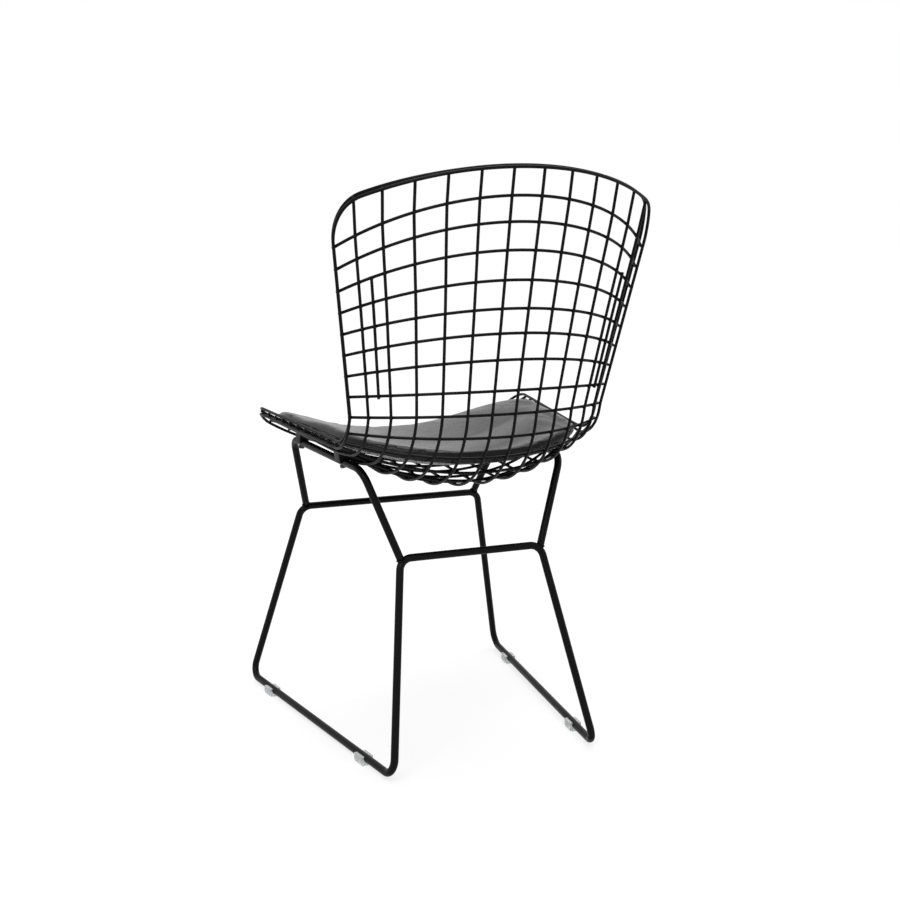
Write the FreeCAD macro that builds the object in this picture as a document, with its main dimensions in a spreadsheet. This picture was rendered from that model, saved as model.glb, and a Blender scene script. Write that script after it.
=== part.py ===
"""Wire mesh chair: a welded wire shell clipped to a bent rod sled base, with a seat pad.

Millimetres. X runs across the chair (the sitter's left is +X), the chair faces -Y, Z is up,
and the origin lies on the floor under the middle of the chair.
"""
import FreeCAD, Part
import math
import os
import Sketcher
from FreeCAD import Placement, Rotation, Vector

# Driving dimensions: alias, value, what it is
SIZES = [
    ("wire_dia", 3.8, "mesh wire, across its faces"),
    ("rim_dia", 4.8, "rim rod, across its faces"),
    ("rod_dia", 10.0, "base rod"),
    ("weld_bite", 0.2, "how far two welded wires sink into each other"),
    ("wire_overrun", 3.0, "wire end beyond the middle of the rim"),
    ("crest_y", 266.2, "middle of the top edge, behind the origin"),
    ("crest_z", 777.5, "middle of the top edge, above the floor"),
    ("back_lean_top", 11.7, "lean of the back at its top, degrees from upright"),
    ("back_lean_low", 13.3, "lean of the back at the waist"),
    ("back_length", 319.1, "back, along its middle"),
    ("scoop_length", 179.0, "scoop between back and seat, along the middle"),
    ("seat_rise", 3.0, "rise of the seat towards the front, degrees"),
    ("seat_length", 254.9, "straight part of the seat, along the middle"),
    ("lip_length", 37.0, "rolled front lip, along the middle"),
    ("lip_drop", 28.0, "turn of the front lip, degrees"),
    ("wing_y", 180.9, "top corner of the side edge, behind the origin"),
    ("wing_z", 729.0, "top corner of the side edge, above the floor"),
    ("wing_lean", 12.4, "lean of the side edge, degrees from upright"),
    ("wing_length", 265.4, "straight side edge of the back"),
    ("waist_bend", 54.6, "radius of the side edge at the waist"),
    ("side_rise", 3.3, "rise of the seat's side edge towards the front, degrees"),
    ("side_length", 264.1, "straight side edge of the seat"),
    ("first_gap", 47.7, "top corner to the first cross wire, along the side edge"),
    ("half_top", 217.8, "half width at the top corners"),
    ("half_waist", 177.1, "half width where the waist bend starts"),
    ("half_rear", 178.5, "half width where the waist bend ends"),
    ("half_front", 215.0, "half width at the front corners"),
    ("wire_pitch", 0.16, "pitch of the long wires, as a share of the half width"),
    ("outer_pitch", 0.986, "place of the outermost long wires, as a share of their even place"),
    ("top_corner", 0.17, "rounding of the top corners, as a share of the half width"),
    ("front_corner", 0.12, "rounding of the front corners, as a share of the half width"),
    ("top_rows", 0.9, "rounding of the top corners the other way, in rows"),
    ("front_rows", 1.1, "rounding of the front corners the other way, in rows"),
    ("foot_rear_y", 189.0, "rear corners of the runners"),
    ("foot_front_y", -277.0, "front corners of the runners"),
    ("foot_half_rear", 146.0, "half track at the rear corners"),
    ("foot_half_front", 210.0, "half track at the front corners"),
    ("runner_z", 9.5, "height of the runner's middle"),
    ("knee_rear_x", 103.0, "rear knee"),
    ("knee_rear_y", 102.5, "rear knee"),
    ("knee_rear_z", 274.3, "rear knee"),
    ("knee_front_x", 145.0, "front knee"),
    ("knee_front_y", -206.5, "front knee"),
    ("knee_front_z", 287.9, "front knee"),
    ("rod_bend", 26.0, "bend radius of the base rod, to its middle"),
    ("bar_drop_rear", 14.6, "seat bar below the wire that the rear clip grips"),
    ("bar_aside_rear", -2.9, "seat bar outwards from the rear clip's grip"),
    ("bar_drop_front", 15.6, "seat bar below the wire that the front clip grips"),
    ("bar_aside_front", 1.6, "seat bar outwards from the front clip's grip"),
    ("bar_tail", 60.5, "seat bar behind the rear grip, up to its corner"),
    ("bar_nose", 31.9, "seat bar ahead of the front grip, up to its corner"),
    ("foot_setback", 2.0, "end of a bracket's foot, short of the middle of the base rod"),
    ("foot_shift_rear", 2.5, "rear foot of a bracket, from the bend's middle down the leg"),
    ("foot_shift_front", -5.0, "front foot of a bracket, from the bend's middle down the leg"),
    ("bolt_dia", 5.0, "clip bolt"),
    ("bolt_gap", 0.1, "clearance round the bolt in the seat bar"),
    ("bolt_head_flats", 8.0, "clip bolt's hexagon head, across its flats"),
    ("bolt_head", 4.0, "height of the clip bolt's head"),
    ("bolt_reserve", 1.5, "bolt tip below the gripped wire"),
    ("clip_length", 16.0, "saddle clip, along the seat bar"),
    ("clip_width", 14.0, "saddle clip, across the seat bar"),
    ("clip_cover", 1.4, "clip above the wire that it grips"),
    ("clip_slit", 2.9, "slit through which the clip snaps over the wire"),
    ("glide_length", 22.0, "glide, along the runner"),
    ("glide_width", 17.0, "glide, across the runner"),
    ("glide_height", 12.5, "glide, from the floor to its lips"),
    ("glide_bevel", 1.5, "bevel of the glide's foot, inwards"),
    ("glide_shoulder", 3.0, "height of the glide's bevel"),
    ("glide_front_y", -199.0, "middle of the front glides"),
    ("glide_rear_y", 104.0, "middle of the rear glides"),
    ("pad_thick", 19.0, "seat pad at its sides"),
    ("pad_crown", 6.5, "rise of the pad's middle above its sides"),
    ("pad_lift", 2.3, "pad's underside above the middle of the cross wires"),
    ("pad_bridge", 10.0, "extra lift where the pad spans the hollow behind the seat"),
    ("pad_bulge", 3.5, "rounding of the pad's sides"),
    ("pocket_gap", 1.0, "clearance round a clip in the pad's underside"),
]

COLUMNS = 12
ROWS = 23
BACK_ROWS = 9
SHORT_WIRE_ROWS = (3, 8)
CLIP_ROWS = {"rear": 15, "front": 20}
# Millimetres by which the middle of a cross wire lies beyond its even place; the rest lie evenly
ROW_SHIFTS = {1: 0.5, 2: -2.5, 3: -2.4, 5: 1.4, 6: -1.4, 7: -1.5, 8: 4.9, 9: 2.1}
WIRE_SIDES = 8
RIM_SIDES = 10
ROD_SIDES = 16
BOLT_SIDES = 12
BEND_SPANS = 5
# Rod on both sides of a knee, in bend radii, that the cut of a bracket's foot follows
COPE_REACH = 2.5

doc = FreeCAD.newDocument("wire_mesh_chair")
sheet = doc.addObject("Spreadsheet::Sheet", "sizes")
for line_number, (alias, value, meaning) in enumerate(SIZES, start=1):
    sheet.set("A%d" % line_number, meaning)
    sheet.set("B%d" % line_number, str(value))
    sheet.setAlias("B%d" % line_number, alias)
doc.recompute()


def size(alias):
    """The present value of one driving dimension."""
    return float(sheet.get(alias))


def mirrored(point):
    """The same point on the chair's other side."""
    return Vector(-point.x, point.y, point.z)


# The shell's reference surface runs through the middles of the cross wires. Each cross wire is a
# circular arc from side edge to side edge through the middle profile, and both the profile and
# the side edge are chains of straight lines and arcs in side view.

def walk(start_y, start_z, pieces, distance):
    """Point of a side-view chain; a heading of 0 points down and one of 90 to the front."""
    y = start_y
    z = start_z
    for number, (length, first, last) in enumerate(pieces):
        final = number == len(pieces) - 1
        step = distance if final else min(distance, length)
        a = math.radians(first)
        turn = math.radians(last - first) / length
        if abs(turn) < 1e-9:
            y -= math.sin(a) * step
            z -= math.cos(a) * step
        else:
            b = a + turn * step
            y += (math.cos(b) - math.cos(a)) / turn
            z -= (math.sin(b) - math.sin(a)) / turn
        distance -= step
        if final or distance <= 0:
            return y, z
    return y, z


def row_shift(row):
    """How far the middle of a cross wire lies beyond its even place, away from the crest."""
    before = math.floor(row)
    first = ROW_SHIFTS.get(before, 0.0)
    last = ROW_SHIFTS.get(before + 1, 0.0)
    return first + (last - first) * (row - before)


def middle_profile(row):
    """Side-view point on the chair's middle plane, where row runs from 0 at the crest."""
    seat_heading = 90 + size("seat_rise")
    pieces = [
        (size("back_length"), size("back_lean_top"), size("back_lean_low")),
        (size("scoop_length"), size("back_lean_low"), seat_heading),
        (size("seat_length"), seat_heading, seat_heading),
        (size("lip_length"), seat_heading, seat_heading - size("lip_drop")),
    ]
    total = sum(piece[0] for piece in pieces)
    distance = total * row / ROWS + row_shift(row)
    return walk(size("crest_y"), size("crest_z"), pieces, distance)


def side_edge(row):
    """Half width and side-view point of the shell's side edge."""
    rise = 90 + size("side_rise")
    straight = size("wing_length")
    bend = size("waist_bend") * math.radians(rise - size("wing_lean"))
    seat = size("side_length")
    first = size("first_gap")
    if row <= 1:
        distance = first * row
    elif row <= BACK_ROWS:
        distance = first + (straight - first) * (row - 1) / (BACK_ROWS - 1)
    else:
        distance = straight + (bend + seat) * (row - BACK_ROWS) / (ROWS - BACK_ROWS)
    pieces = [
        (straight, size("wing_lean"), size("wing_lean")),
        (bend, size("wing_lean"), rise),
        (seat, rise, rise),
    ]
    y, z = walk(size("wing_y"), size("wing_z"), pieces, distance)
    if distance < straight:
        share = distance / straight
        half = size("half_top") + (size("half_waist") - size("half_top")) * share
    elif distance < straight + bend:
        share = (distance - straight) / bend
        half = size("half_waist") + (size("half_rear") - size("half_waist")) * share
    else:
        share = (distance - straight - bend) / seat
        half = size("half_rear") + (size("half_front") - size("half_rear")) * share
    return half, y, z


def shell_point(across, row):
    """Point of the reference surface; across runs from -1 to 1 between the side edges."""
    middle_y, middle_z = middle_profile(row)
    half, edge_y, edge_z = side_edge(row)
    rise_y = edge_y - middle_y
    rise_z = edge_z - middle_z
    depth = math.hypot(rise_y, rise_z)
    radius = (half * half + depth * depth) / (2 * depth)
    angle = across * 2 * math.atan2(depth, half)
    share = radius * (1 - math.cos(angle)) / depth
    return Vector(radius * math.sin(angle), middle_y + rise_y * share, middle_z + rise_z * share)


def shell_normal(across, row):
    """Unit normal of the reference surface, towards the sitter."""
    sideways = shell_point(across + 0.001, row) - shell_point(across - 0.001, row)
    onwards = shell_point(across, row + 0.01) - shell_point(across, row - 0.01)
    return onwards.cross(sideways).normalize()


def shell_offset(across, row, distance):
    """Point at a distance from the reference surface, towards the sitter."""
    return shell_point(across, row) + shell_normal(across, row) * distance


def column_share(column):
    """Place of a long wire between the side edges; columns run 1 to 12 from the sitter's right."""
    share = (column - (COLUMNS + 1) / 2) * size("wire_pitch")
    return share * size("outer_pitch") if column in (1, COLUMNS) else share


def layer_depth():
    """From the cross wires' layer out to the long wires' layer."""
    return size("wire_dia") - size("weld_bite")


def beyond(tip, before, distance):
    """A point past a wire's tip, in the direction that the wire comes from."""
    return tip + (tip - before).normalize() * distance


def facing(start, onward, upward):
    """Placement at start whose Z runs onward and whose X leans towards upward."""
    z_axis = (onward - start).normalize()
    x_axis = (upward - z_axis * upward.dot(z_axis)).normalize()
    y_axis = z_axis.cross(x_axis)
    return Placement(start, Rotation(x_axis, y_axis, z_axis, "ZXY"))


def flats_radius(alias, sides):
    """Corner radius of a section that measures the alias across its flats."""
    return size(alias) / 2 / math.cos(math.pi / sides)


def flats_expression(alias, sides):
    """The same radius, bound to the sheet."""
    return "sizes.%s / 2 / cos(%g deg)" % (alias, 180 / sides)


def labelled(feature, name):
    """Give a finished piece its own name."""
    feature.Label = name
    return feature


def flat_sided(name, sides, radius, height, placement):
    """A prism with its corners at the radius that the expression gives."""
    prism = doc.addObject("Part::Prism", name)
    prism.Polygon = sides
    prism.setExpression("Circumradius", radius)
    prism.Height = height
    prism.Placement = placement
    return prism


def swept_wire(name, nodes, upward):
    """A mesh wire, bent a little at each weld: a flat-sided section swept along straight spans."""
    line = doc.addObject("Part::Polygon", name + "_line")
    line.Nodes = nodes
    section = doc.addObject("Part::RegularPolygon", name + "_section")
    section.Polygon = WIRE_SIDES
    section.setExpression("Circumradius", flats_expression("wire_dia", WIRE_SIDES))
    start = facing(nodes[0], nodes[1], upward)
    half_flat = Rotation(Vector(0, 0, 1), 180 / WIRE_SIDES)
    section.Placement = start * Placement(Vector(), half_flat)
    wire = doc.addObject("Part::Sweep", name)
    wire.Sections = [section]
    wire.Spine = (line, ["Edge%d" % (n + 1) for n in range(len(nodes) - 1)])
    wire.Solid = True
    wire.Frenet = False
    wire.Transition = "Right corner"
    return labelled(wire, name)


def mitred_rings(path, radius, sides, closed):
    """Sections of a wire along a space curve, each in the plane that halves its bend."""
    rings = []
    count = len(path)
    for number, (point, normal) in enumerate(path):
        onward = path[(number + 1) % count][0] - point
        behind = point - path[number - 1][0]
        if not closed and number == 0:
            behind = onward
        if not closed and number == count - 1:
            onward = behind
        along = onward.normalize() + behind.normalize()
        along.normalize()
        out = (normal - along * normal.dot(along)).normalize()
        side = along.cross(out)
        corners = []
        for corner in range(sides):
            angle = 2 * math.pi * (corner + 0.5) / sides
            corners.append(point + (out * math.cos(angle) + side * math.sin(angle)) * radius)
        rings.append(Part.makePolygon(corners + [corners[0]]))
    return rings


def space_wire(name, path, radius, sides, closed=False):
    """A wire whose path bends both ways, ruled from section to section; radius is at corners."""
    wire = doc.addObject("Part::Feature", name)
    wire.Shape = Part.makeLoft(mitred_rings(path, radius, sides, closed), True, True, closed)
    return wire


def cross_wire(row):
    """One wire across the shell; its ends are welded between the two rim rods."""
    shares = [-1.0] + [column_share(column) for column in range(1, COLUMNS + 1)] + [1.0]
    nodes = [shell_point(share, row) for share in shares]
    nodes[0] = beyond(nodes[0], nodes[1], size("wire_overrun"))
    nodes[-1] = beyond(nodes[-1], nodes[-2], size("wire_overrun"))
    return swept_wire("cross_wire_%02d" % row, nodes, shell_normal(-1.0, row))


def long_wire(column):
    """One wire from the crest down the back, through the scoop and out to the front lip."""
    share = column_share(column)
    rows = [0, 2, 4, 6, 8] + list(range(9, 16)) + [17, 19, 21, 22, 22.5, 23]
    path = []
    for row in rows:
        path.append((shell_offset(share, row, -layer_depth()), shell_normal(share, row)))
    first = beyond(path[0][0], path[1][0], size("wire_overrun") / 3)
    last = beyond(path[-1][0], path[-2][0], size("wire_overrun") / 3)
    path[0] = (first, path[0][1])
    path[-1] = (last, path[-1][1])
    name = "long_wire_%02d" % column
    return labelled(space_wire(name, path, flats_radius("wire_dia", WIRE_SIDES), WIRE_SIDES), name)


def short_wire(name, side):
    """The extra wire that halves the outer cells of the back beside the sitter's arm."""
    share = side * (column_share(COLUMNS) + column_share(COLUMNS - 1)) / 2
    first, last = SHORT_WIRE_ROWS
    path = []
    for row in range(first, last + 1):
        path.append((shell_offset(share, row, -layer_depth()), shell_normal(share, row)))
    tip = beyond(path[0][0], path[1][0], size("wire_overrun"))
    tail = beyond(path[-1][0], path[-2][0], size("wire_overrun"))
    path[0] = (tip, path[0][1])
    path[-1] = (tail, path[-1][1])
    return labelled(space_wire(name, path, flats_radius("wire_dia", WIRE_SIDES), WIRE_SIDES), name)


def rim_places():
    """Places (across, row) round the sitter's left half of the rim, from crest to front lip."""
    columns = range(COLUMNS // 2 + 1, COLUMNS + 1)
    top = size("top_corner")
    front = size("front_corner")
    top_rows = size("top_rows")
    front_rows = size("front_rows")
    places = [(column_share(c), 0.0) for c in columns if column_share(c) < 1 - top]
    for degrees in (15, 35, 55, 75):
        a = math.radians(degrees)
        places.append((1 - top + top * math.sin(a), top_rows * (1 - math.cos(a))))
    side_rows = [top_rows, 3, 5, 7, 9, 9.7, 10.3, 11, 11.6, 12.2, 13, 15, 17, 19, 21]
    places += [(1.0, row) for row in side_rows + [ROWS - front_rows]]
    for degrees in (25, 50, 75):
        a = math.radians(degrees)
        across = 1 - front + front * math.cos(a)
        places.append((across, ROWS - front_rows * (1 - math.sin(a))))
    places += [(column_share(c), float(ROWS)) for c in reversed(columns)]
    return places


def rim_rod(name, side):
    """One of the two rods that hold the wires' ends; side is 1 on the sitter's side."""
    half = rim_places()
    places = half + [(-across, row) for across, row in reversed(half)]
    reach = (size("wire_dia") + size("rim_dia")) / 2 - size("weld_bite")
    outer_share = column_share(COLUMNS)
    path = []
    for across, row in places:
        blend = min(1.0, max(0.0, (1 - abs(across)) / (1 - outer_share)))
        blend = blend * blend * (3 - 2 * blend)
        depth = side * reach - layer_depth() * blend
        path.append((shell_offset(across, row, depth), shell_normal(across, row)))
    radius = flats_radius("rim_dia", RIM_SIDES)
    return labelled(space_wire(name, path, radius, RIM_SIDES, closed=True), name)


# The base is bent from round rod. Its section is a polygon whose corners lie on the rod's skin.

def bend_point(before, corner, after, angle):
    """Point of a rod's middle line round one corner, at an angle onwards from the bend's middle."""
    back = (before - corner).normalize()
    forth = (after - corner).normalize()
    inwards = (back + forth).normalize()
    centre = corner + inwards * (size("rod_bend") / math.sin(math.acos(back.dot(forth)) / 2))
    middle = (corner - centre).normalize() * size("rod_bend")
    sideways = (forth - back).normalize() * size("rod_bend")
    return centre + middle * math.cos(angle) + sideways * math.sin(angle)


def bend_arc(before, corner, after):
    """Points of a rod's middle line round one corner, at the base's bend radius."""
    sweep = (math.pi - (before - corner).getAngle(after - corner)) / 2
    points = []
    for span in range(BEND_SPANS + 1):
        angle = sweep * (2 * span / BEND_SPANS - 1)
        points.append(bend_point(before, corner, after, angle))
    return points


def bent_rod(name, corners, closed):
    """A rod through the given corners, bent at each inner one."""
    count = len(corners)
    line = []
    for number, corner in enumerate(corners):
        if closed or 0 < number < count - 1:
            line += bend_arc(corners[number - 1], corner, corners[(number + 1) % count])
        else:
            line.append(corner)
    path = [(point, Vector(0.3, 0.4, 0.87)) for point in line]
    return space_wire(name, path, size("rod_dia") / 2, ROD_SIDES, closed)


def base_corner(prefix):
    """A corner of the base that the sheet states by its three coordinates."""
    return Vector(size(prefix + "_x"), size(prefix + "_y"), size(prefix + "_z"))


knee_rear = base_corner("knee_rear")
knee_front = base_corner("knee_front")
foot_rear = Vector(size("foot_half_rear"), size("foot_rear_y"), size("runner_z"))
foot_front = Vector(size("foot_half_front"), size("foot_front_y"), size("runner_z"))


def sled_base():
    """Two crossbars, four legs and two runners, bent from one rod into a closed loop."""
    left = [knee_rear, foot_rear, foot_front, knee_front]
    right = [mirrored(corner) for corner in reversed(left)]
    return labelled(bent_rod("sled_base", left + right, closed=True), "sled_base")


def gripped_span(place):
    """The stretch of cross wire, between two long wires, that a clip on the left side grips."""
    row = CLIP_ROWS[place]
    start = shell_point(column_share(COLUMNS - 1), row)
    return start, shell_point(column_share(COLUMNS), row)


def bar_point(place):
    """Point of the left seat bar's middle line, set by its clip's grip on the shell."""
    start, end = gripped_span(place)
    offset = Vector(size("bar_aside_" + place), 0, -size("bar_drop_" + place))
    return (start + end) * 0.5 + offset


def bar_corners():
    """Rear and front corner of the left seat bar."""
    rear = bar_point("rear")
    front = bar_point("front")
    heading = (front - rear).normalize()
    return rear - heading * size("bar_tail"), front + heading * size("bar_nose")


def bracket_foot(knee, foot, shift, seat_corner):
    """Where a bracket's foot ends, beside the middle of the base's bend at one knee."""
    touch = bend_point(mirrored(knee), knee, foot, shift / size("rod_bend"))
    return touch + (seat_corner - touch).normalize() * size("foot_setback")


def knee_rod(name, knee, foot, side):
    """The base's own bend at one knee with a little of the rod at both ends."""
    half = COPE_REACH * size("rod_bend")
    start = knee + (mirrored(knee) - knee).normalize() * half
    end = knee + (foot - knee).normalize() * half
    corners = [start, knee, end]
    if side < 0:
        corners = [mirrored(corner) for corner in reversed(corners)]
    return bent_rod(name, corners, closed=False)


def seat_bracket(name, side):
    """The upper rod of one side, its two feet coped to the base where they are welded."""
    bar_rear, bar_front = bar_corners()
    rear_foot = bracket_foot(knee_rear, foot_rear, size("foot_shift_rear"), bar_rear)
    front_foot = bracket_foot(knee_front, foot_front, size("foot_shift_front"), bar_front)
    corners = [rear_foot, bar_rear, bar_front, front_foot]
    if side < 0:
        corners = [mirrored(corner) for corner in corners]
    blank = bent_rod(name + "_blank", corners, closed=False)
    tools = [
        knee_rod(name + "_rear_knee", knee_rear, foot_rear, side),
        knee_rod(name + "_front_knee", knee_front, foot_front, side),
    ]
    for place in CLIP_ROWS:
        seat = clip_seat(place, side)
        tools.append(flat_sided(
            "%s_%s_hole" % (name, place), BOLT_SIDES, "sizes.bolt_dia / 2 + sizes.bolt_gap",
            size("rod_dia") * 2, moved(seat["frame"], 0, 0, -size("rod_dia"))))
    cutter = doc.addObject("Part::MultiFuse", name + "_cutter")
    cutter.Shapes = tools
    bracket = doc.addObject("Part::Cut", name)
    bracket.Base = blank
    bracket.Tool = cutter
    return labelled(bracket, name)


def clip_seat(place, side):
    """Where a saddle clip joins a cross wire to the seat bar: its frame, height and the wire.

    The clip grips the wire halfway between the two outermost long wires, and stands square on
    the bar under that point.
    """
    wire_start, wire_end = gripped_span(place)
    bar_start, bar_end = bar_corners()
    if side < 0:
        wire_start, wire_end, bar_start, bar_end = [
            mirrored(point) for point in (wire_start, wire_end, bar_start, bar_end)]
    grip = (wire_start + wire_end) * 0.5
    along_bar = (bar_end - bar_start).normalize()
    origin = bar_start + along_bar * (grip - bar_start).dot(along_bar)
    height = (grip - origin).Length
    upward = (grip - origin).normalize()
    frame = Placement(origin, Rotation(along_bar, upward.cross(along_bar), upward, "ZXY"))
    return {"frame": frame, "height": height, "wire": (wire_end - wire_start).normalize()}


def moved(frame, x, y, z):
    """The frame carried along its own axes."""
    return frame * Placement(Vector(x, y, z), Rotation())


def saddle_clip(name, place, side):
    """A block that straddles the seat bar and grips one cross wire through a slit."""
    seat = clip_seat(place, side)
    frame = seat["frame"]
    length = size("clip_length")
    width = size("clip_width")
    block = doc.addObject("Part::Box", name + "_block")
    block.setExpression("Length", "sizes.clip_length")
    block.setExpression("Width", "sizes.clip_width")
    block.Height = clip_top(seat)
    block.Placement = moved(frame, -length / 2, -width / 2, 0)
    lying = Placement(Vector(-length, 0, 0), Rotation(Vector(0, 1, 0), 90))
    groove = flat_sided(name + "_bar_groove", ROD_SIDES, flats_expression("rod_dia", ROD_SIDES),
                        length * 2, frame * lying)
    along = frame.Rotation.inverted().multVec(seat["wire"])
    middle = Vector(0, 0, seat["height"])
    grip_frame = frame * facing(middle - along * width, middle + along * width, Vector(0, 0, 1))
    wire_corner = "%s / cos(%g deg)" % (flats_expression("wire_dia", WIRE_SIDES), 180 / WIRE_SIDES)
    grip = flat_sided(name + "_wire_grip", WIRE_SIDES, wire_corner, width * 2, grip_frame)
    slit = doc.addObject("Part::Box", name + "_slit")
    slit.Length = size("clip_cover") + size("wire_dia")
    slit.setExpression("Width", "sizes.clip_slit")
    slit.Height = width * 2
    slit.Placement = moved(grip_frame, 0, -size("clip_slit") / 2, 0)
    thread = flat_sided(name + "_thread", BOLT_SIDES, "sizes.bolt_dia / 2", bolt_tip(seat), frame)
    tools = doc.addObject("Part::MultiFuse", name + "_tools")
    tools.Shapes = [groove, grip, slit, thread]
    clip = doc.addObject("Part::Cut", name)
    clip.Base = block
    clip.Tool = tools
    return labelled(clip, name)


def clip_top(seat):
    """Height of a clip's top above the bar's middle."""
    return seat["height"] + size("wire_dia") / 2 + size("clip_cover")


def bolt_tip(seat):
    """Height of a clip bolt's tip above the bar's middle, short of the gripped wire."""
    return seat["height"] - size("wire_dia") / 2 - size("bolt_reserve")


def clip_bolt(name, place, side):
    """A hexagon bolt from below the seat bar up into the clip."""
    seat = clip_seat(place, side)
    frame = seat["frame"]
    under = size("rod_dia") / 2
    shank = flat_sided(name + "_shank", BOLT_SIDES, "sizes.bolt_dia / 2", under + bolt_tip(seat),
                       moved(frame, 0, 0, -under))
    head = flat_sided(name + "_head", 6, flats_expression("bolt_head_flats", 6),
                      size("bolt_head"), moved(frame, 0, 0, -under - size("bolt_head")))
    bolt = doc.addObject("Part::MultiFuse", name)
    bolt.Shapes = [shank, head]
    return bolt


def together(name, members):
    """Identical fasteners in one node."""
    group = doc.addObject("Part::Compound", name)
    group.Links = members
    return labelled(group, name)


def glide_outline(sketch):
    """A flat-footed saddle whose arms hold the runner from below, bound to the sheet."""
    half = size("glide_width") / 2
    foot = half - size("glide_bevel")
    shoulder = size("glide_shoulder")
    top = size("glide_height")
    axis = size("runner_z")
    radius = size("rod_dia") / 2
    lip = math.sqrt(radius * radius - (top - axis) ** 2)
    corners = [
        Vector(lip, top, 0), Vector(half, top, 0), Vector(half, shoulder, 0), Vector(foot, 0, 0),
        Vector(-foot, 0, 0), Vector(-half, shoulder, 0), Vector(-half, top, 0), Vector(-lip, top, 0),
    ]
    for first, second in zip(corners, corners[1:]):
        sketch.addGeometry(Part.LineSegment(first, second), False)
    bottom = Vector(0, axis - radius, 0)
    arc = Part.Arc(corners[-1], bottom, corners[0])
    sketch.addGeometry(arc, False)
    last = len(corners) - 1
    for number in range(last - 1):
        sketch.addConstraint(Sketcher.Constraint("Coincident", number, 2, number + 1, 1))
    for number in (0, 3, 6):
        sketch.addConstraint(Sketcher.Constraint("Horizontal", number))
    for number in (1, 5):
        sketch.addConstraint(Sketcher.Constraint("Vertical", number))
    rim = sketch.addConstraint(Sketcher.Constraint("DistanceX", 5, 2, 1, 1, 2 * half))
    sketch.setExpression("Constraints[%d]" % rim, "sizes.glide_width")
    tall = sketch.addConstraint(Sketcher.Constraint("DistanceY", -1, 1, 0, 1, top))
    sketch.setExpression("Constraints[%d]" % tall, "sizes.glide_height")


def glide(name, side, place):
    """A clear plastic glide clipped round a runner."""
    y = size("glide_%s_y" % place)
    runner = foot_rear - foot_front
    x = foot_front.x + runner.x * (y - foot_front.y) / runner.y
    splay = math.degrees(math.atan2(-runner.x, runner.y))
    body = doc.addObject("PartDesign::Body", name)
    sketch = body.newObject("Sketcher::SketchObject", name + "_outline")
    plane = [f for f in body.Origin.OriginFeatures if f.Role == "XZ_Plane"][0]
    sketch.AttachmentSupport = (plane, [""])
    sketch.MapMode = "FlatFace"
    glide_outline(sketch)
    pad = body.newObject("PartDesign::Pad", name + "_pad")
    pad.Profile = sketch
    pad.setExpression("Length", "sizes.glide_length")
    pad.Midplane = True
    doc.recompute()
    body.Placement = Placement(Vector(side * x, y, 0), Rotation(Vector(0, 0, 1), side * splay))
    return labelled(body, name)


# The pad lies in the dish of the seat and spans the hollow behind it. Each station is a row, the
# pad's half width there and the share of its thickness; the last ones round its edges off.
PAD_STATIONS = [
    (11.22, 0.62, 0.25),
    (11.28, 0.70, 0.66),
    (11.45, 0.79, 0.92),
    (11.8, 0.88, 1.0),
    (12.3, 0.94, 1.0),
    (13.2, 0.96, 1.0),
    (14.5, 0.965, 1.0),
    (16.0, 0.965, 1.0),
    (20.3, 0.96, 1.0),
    (21.6, 0.94, 1.0),
    (22.3, 0.90, 0.94),
    (22.65, 0.84, 0.7),
    (22.78, 0.78, 0.25),
]
PAD_BRIDGE_ROWS = (11.5, 16.0)
PAD_UNDER_SPANS = 8
PAD_SIDE_SPANS = 4
PAD_TOP_SPANS = 12


def pad_point(across, row, depth, outwards):
    """Point over one row of the shell, in that row's own plane, so that a section is flat."""
    middle_y, middle_z = middle_profile(row)
    half, edge_y, edge_z = side_edge(row)
    rise = Vector(0, edge_y - middle_y, edge_z - middle_z)
    tall = rise.Length
    rise.normalize()
    radius = (half * half + tall * tall) / (2 * tall)
    angle = across * 2 * math.atan2(tall, half)
    inner = radius - depth
    sideways = Vector(math.cos(angle), 0, 0) + rise * math.sin(angle)
    flat = Vector(inner * math.sin(angle), middle_y, middle_z)
    return flat + rise * (radius - inner * math.cos(angle)) + sideways * outwards


def pad_section(row, edge, fullness):
    """Closed section of the pad over one row: dished underside, round sides, crowned top."""
    first, last = PAD_BRIDGE_ROWS
    bridge = math.sin(math.pi * min(1.0, max(0.0, (row - first) / (last - first))))
    middle = size("pad_lift") + size("pad_bridge") * bridge + size("pad_thick") / 2
    reach = size("pad_thick") * fullness / 2
    crown = size("pad_crown") * fullness
    corners = []
    for span in range(PAD_UNDER_SPANS + 1):
        corners.append(pad_point(edge * (2 * span / PAD_UNDER_SPANS - 1), row, middle - reach, 0))
    for span in range(1, PAD_SIDE_SPANS):
        angle = math.pi * span / PAD_SIDE_SPANS
        depth = middle - reach * math.cos(angle)
        corners.append(pad_point(edge, row, depth, size("pad_bulge") * fullness * math.sin(angle)))
    for span in range(PAD_TOP_SPANS + 1):
        share = 1 - 2 * span / PAD_TOP_SPANS
        depth = middle + reach + crown * (1 - share ** 4)
        corners.append(pad_point(edge * share, row, depth, 0))
    for span in range(1, PAD_SIDE_SPANS):
        angle = math.pi * span / PAD_SIDE_SPANS
        depth = middle + reach * math.cos(angle)
        corners.append(pad_point(-edge, row, depth, -size("pad_bulge") * fullness * math.sin(angle)))
    return Part.makePolygon(corners + [corners[0]])


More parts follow.
